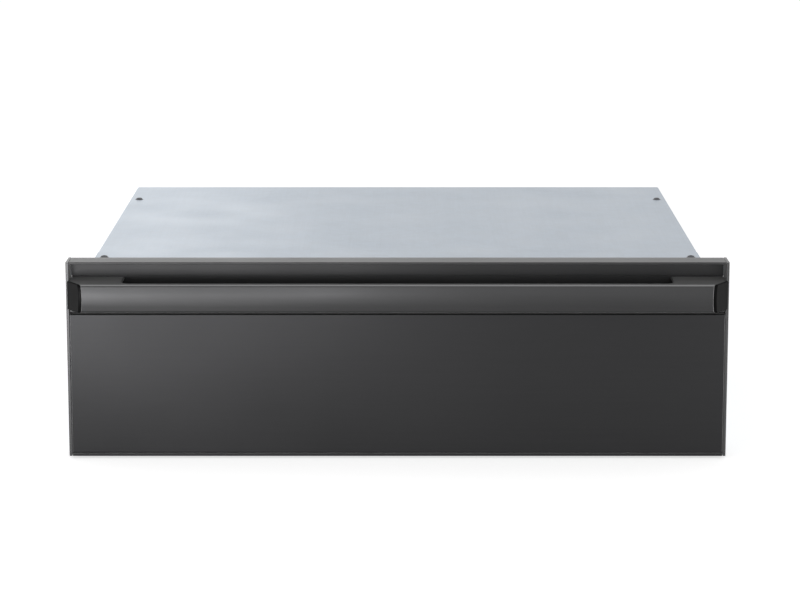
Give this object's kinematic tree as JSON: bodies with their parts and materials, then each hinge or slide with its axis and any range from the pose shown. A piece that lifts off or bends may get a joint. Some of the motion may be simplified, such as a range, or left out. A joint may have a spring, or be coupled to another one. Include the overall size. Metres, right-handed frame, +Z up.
{
  "type": "built-in warming drawer",
  "caption": "Full-width warming drawer: galvanised casing, graphite steel front with an integrated bar handle and finger slot, heated pan on telescopic slides.",
  "frame": {"origin": "on the floor under the middle of the whole box, drawer shut", "axes": "+X to the right along the front, -Y out of the front, +Z up"},
  "size_m": [0.7588, 0.632, 0.2306],
  "materials": {
    "ball_steel": "polished balls in a plated retainer",
    "black_plastic": "moulded, fine satin",
    "button_grey": "moulded, satin",
    "ceramic_white": "glazed",
    "circuit_board": "glass-epoxy board",
    "element_sheath": "oxidised sheath",
    "foot_rubber": "moulded rubber",
    "galvanised_steel": "zinc-coated sheet, satin",
    "gloss_black": "gloss black",
    "graphite_steel": "dark graphite stainless, satin",
    "indicator_amber": "translucent amber",
    "mineral_wool": "pressed mineral wool",
    "silicone": "silicone rubber",
    "slide_zinc": "bright zinc-plated steel",
    "stainless_steel": "brushed stainless"
  },
  "bodies": {
    "casing": {"casing_top": "galvanised_steel", "casing_base": "galvanised_steel", "casing_side_left": "galvanised_steel", "casing_side_right": "galvanised_steel", "casing_back": "galvanised_steel", "front_frame": "galvanised_steel", "feet": "foot_rubber", "casing_screws": "slide_zinc", "liner_shell": "stainless_steel", "liner_ceiling": "stainless_steel", "insulation_top": "mineral_wool", "insulation_sides": "mineral_wool", "insulation_base": "mineral_wool", "insulation_back": "mineral_wool", "heating_element": "element_sheath", "reflector_tray": "stainless_steel", "element_supports": "stainless_steel", "temperature_probe": "stainless_steel", "thermal_cutout": "ceramic_white", "terminal_box": "galvanised_steel", "terminal_block": "ceramic_white", "cord_gland": "black_plastic", "control_bezel": "gloss_black", "control_housing": "black_plastic", "control_board": "circuit_board", "indicator_lenses": "indicator_amber", "slide_outer_left": "slide_zinc", "slide_outer_right": "slide_zinc"},
    "drawer": {"front_skin": "graphite_steel", "top_rail": "graphite_steel", "handle_bar": "graphite_steel", "handle_end_left": "gloss_black", "handle_end_right": "gloss_black", "side_rim_left": "graphite_steel", "side_rim_right": "graphite_steel", "bottom_rim": "graphite_steel", "inner_front": "graphite_steel", "front_insulation": "mineral_wool", "door_gasket": "silicone", "door_screws": "slide_zinc", "drawer_side_left": "stainless_steel", "drawer_side_right": "stainless_steel", "drawer_rear_rail": "stainless_steel", "drawer_front_rail": "stainless_steel", "front_brackets": "stainless_steel", "drawer_pan": "stainless_steel", "slide_inner_left": "slide_zinc", "slide_inner_right": "slide_zinc"},
    "slide_middle_left": {"slide_middle_left": "slide_zinc"},
    "cage_outer_left": {"ball_cage_outer_left": "ball_steel"},
    "cage_inner_left": {"ball_cage_inner_left": "ball_steel"},
    "slide_middle_right": {"slide_middle_right": "slide_zinc"},
    "cage_outer_right": {"ball_cage_outer_right": "ball_steel"},
    "cage_inner_right": {"ball_cage_inner_right": "ball_steel"},
    "button_power": {"button_power": "button_grey"},
    "button_low": {"button_low": "button_grey"},
    "button_medium": {"button_medium": "button_grey"},
    "button_high": {"button_high": "button_grey"},
    "button_timer": {"button_timer": "button_grey"}
  },
  "joints": [
    {"name": "drawer_slide", "type": "slide", "parent": "casing", "child": "drawer", "axis": [0, -1, 0], "range_m": [0, 0.457]},
    {"name": "slide_middle_left_travel", "type": "slide", "parent": "casing", "child": "slide_middle_left", "axis": [0, -1, 0], "range_m": [0, 0.229]},
    {"name": "cage_outer_left_travel", "type": "slide", "parent": "casing", "child": "cage_outer_left", "axis": [0, -1, 0], "range_m": [0, 0.11475]},
    {"name": "cage_inner_left_travel", "type": "slide", "parent": "casing", "child": "cage_inner_left", "axis": [0, -1, 0], "range_m": [0, 0.34325]},
    {"name": "slide_middle_right_travel", "type": "slide", "parent": "casing", "child": "slide_middle_right", "axis": [0, -1, 0], "range_m": [0, 0.229]},
    {"name": "cage_outer_right_travel", "type": "slide", "parent": "casing", "child": "cage_outer_right", "axis": [0, -1, 0], "range_m": [0, 0.11475]},
    {"name": "cage_inner_right_travel", "type": "slide", "parent": "casing", "child": "cage_inner_right", "axis": [0, -1, 0], "range_m": [0, 0.34325]},
    {"name": "button_power_press", "type": "slide", "parent": "casing", "child": "button_power", "axis": [0, 1, 0], "range_m": [0, 0.001], "stiffness_N_per_m": 600, "springref_m": -0.0008},
    {"name": "button_low_press", "type": "slide", "parent": "casing", "child": "button_low", "axis": [0, 1, 0], "range_m": [0, 0.001], "stiffness_N_per_m": 600, "springref_m": -0.0008},
    {"name": "button_medium_press", "type": "slide", "parent": "casing", "child": "button_medium", "axis": [0, 1, 0], "range_m": [0, 0.001], "stiffness_N_per_m": 600, "springref_m": -0.0008},
    {"name": "button_high_press", "type": "slide", "parent": "casing", "child": "button_high", "axis": [0, 1, 0], "range_m": [0, 0.001], "stiffness_N_per_m": 600, "springref_m": -0.0008},
    {"name": "button_timer_press", "type": "slide", "parent": "casing", "child": "button_timer", "axis": [0, 1, 0], "range_m": [0, 0.001], "stiffness_N_per_m": 600, "springref_m": -0.0008}
  ],
  "couplings": [
    {"joint": "slide_middle_left_travel", "follows": "drawer_slide", "ratio": 0.5},
    {"joint": "cage_outer_left_travel", "follows": "drawer_slide", "ratio": 0.25},
    {"joint": "cage_inner_left_travel", "follows": "drawer_slide", "ratio": 0.75},
    {"joint": "slide_middle_right_travel", "follows": "drawer_slide", "ratio": 0.5},
    {"joint": "cage_outer_right_travel", "follows": "drawer_slide", "ratio": 0.25},
    {"joint": "cage_inner_right_travel", "follows": "drawer_slide", "ratio": 0.75}
  ]
}
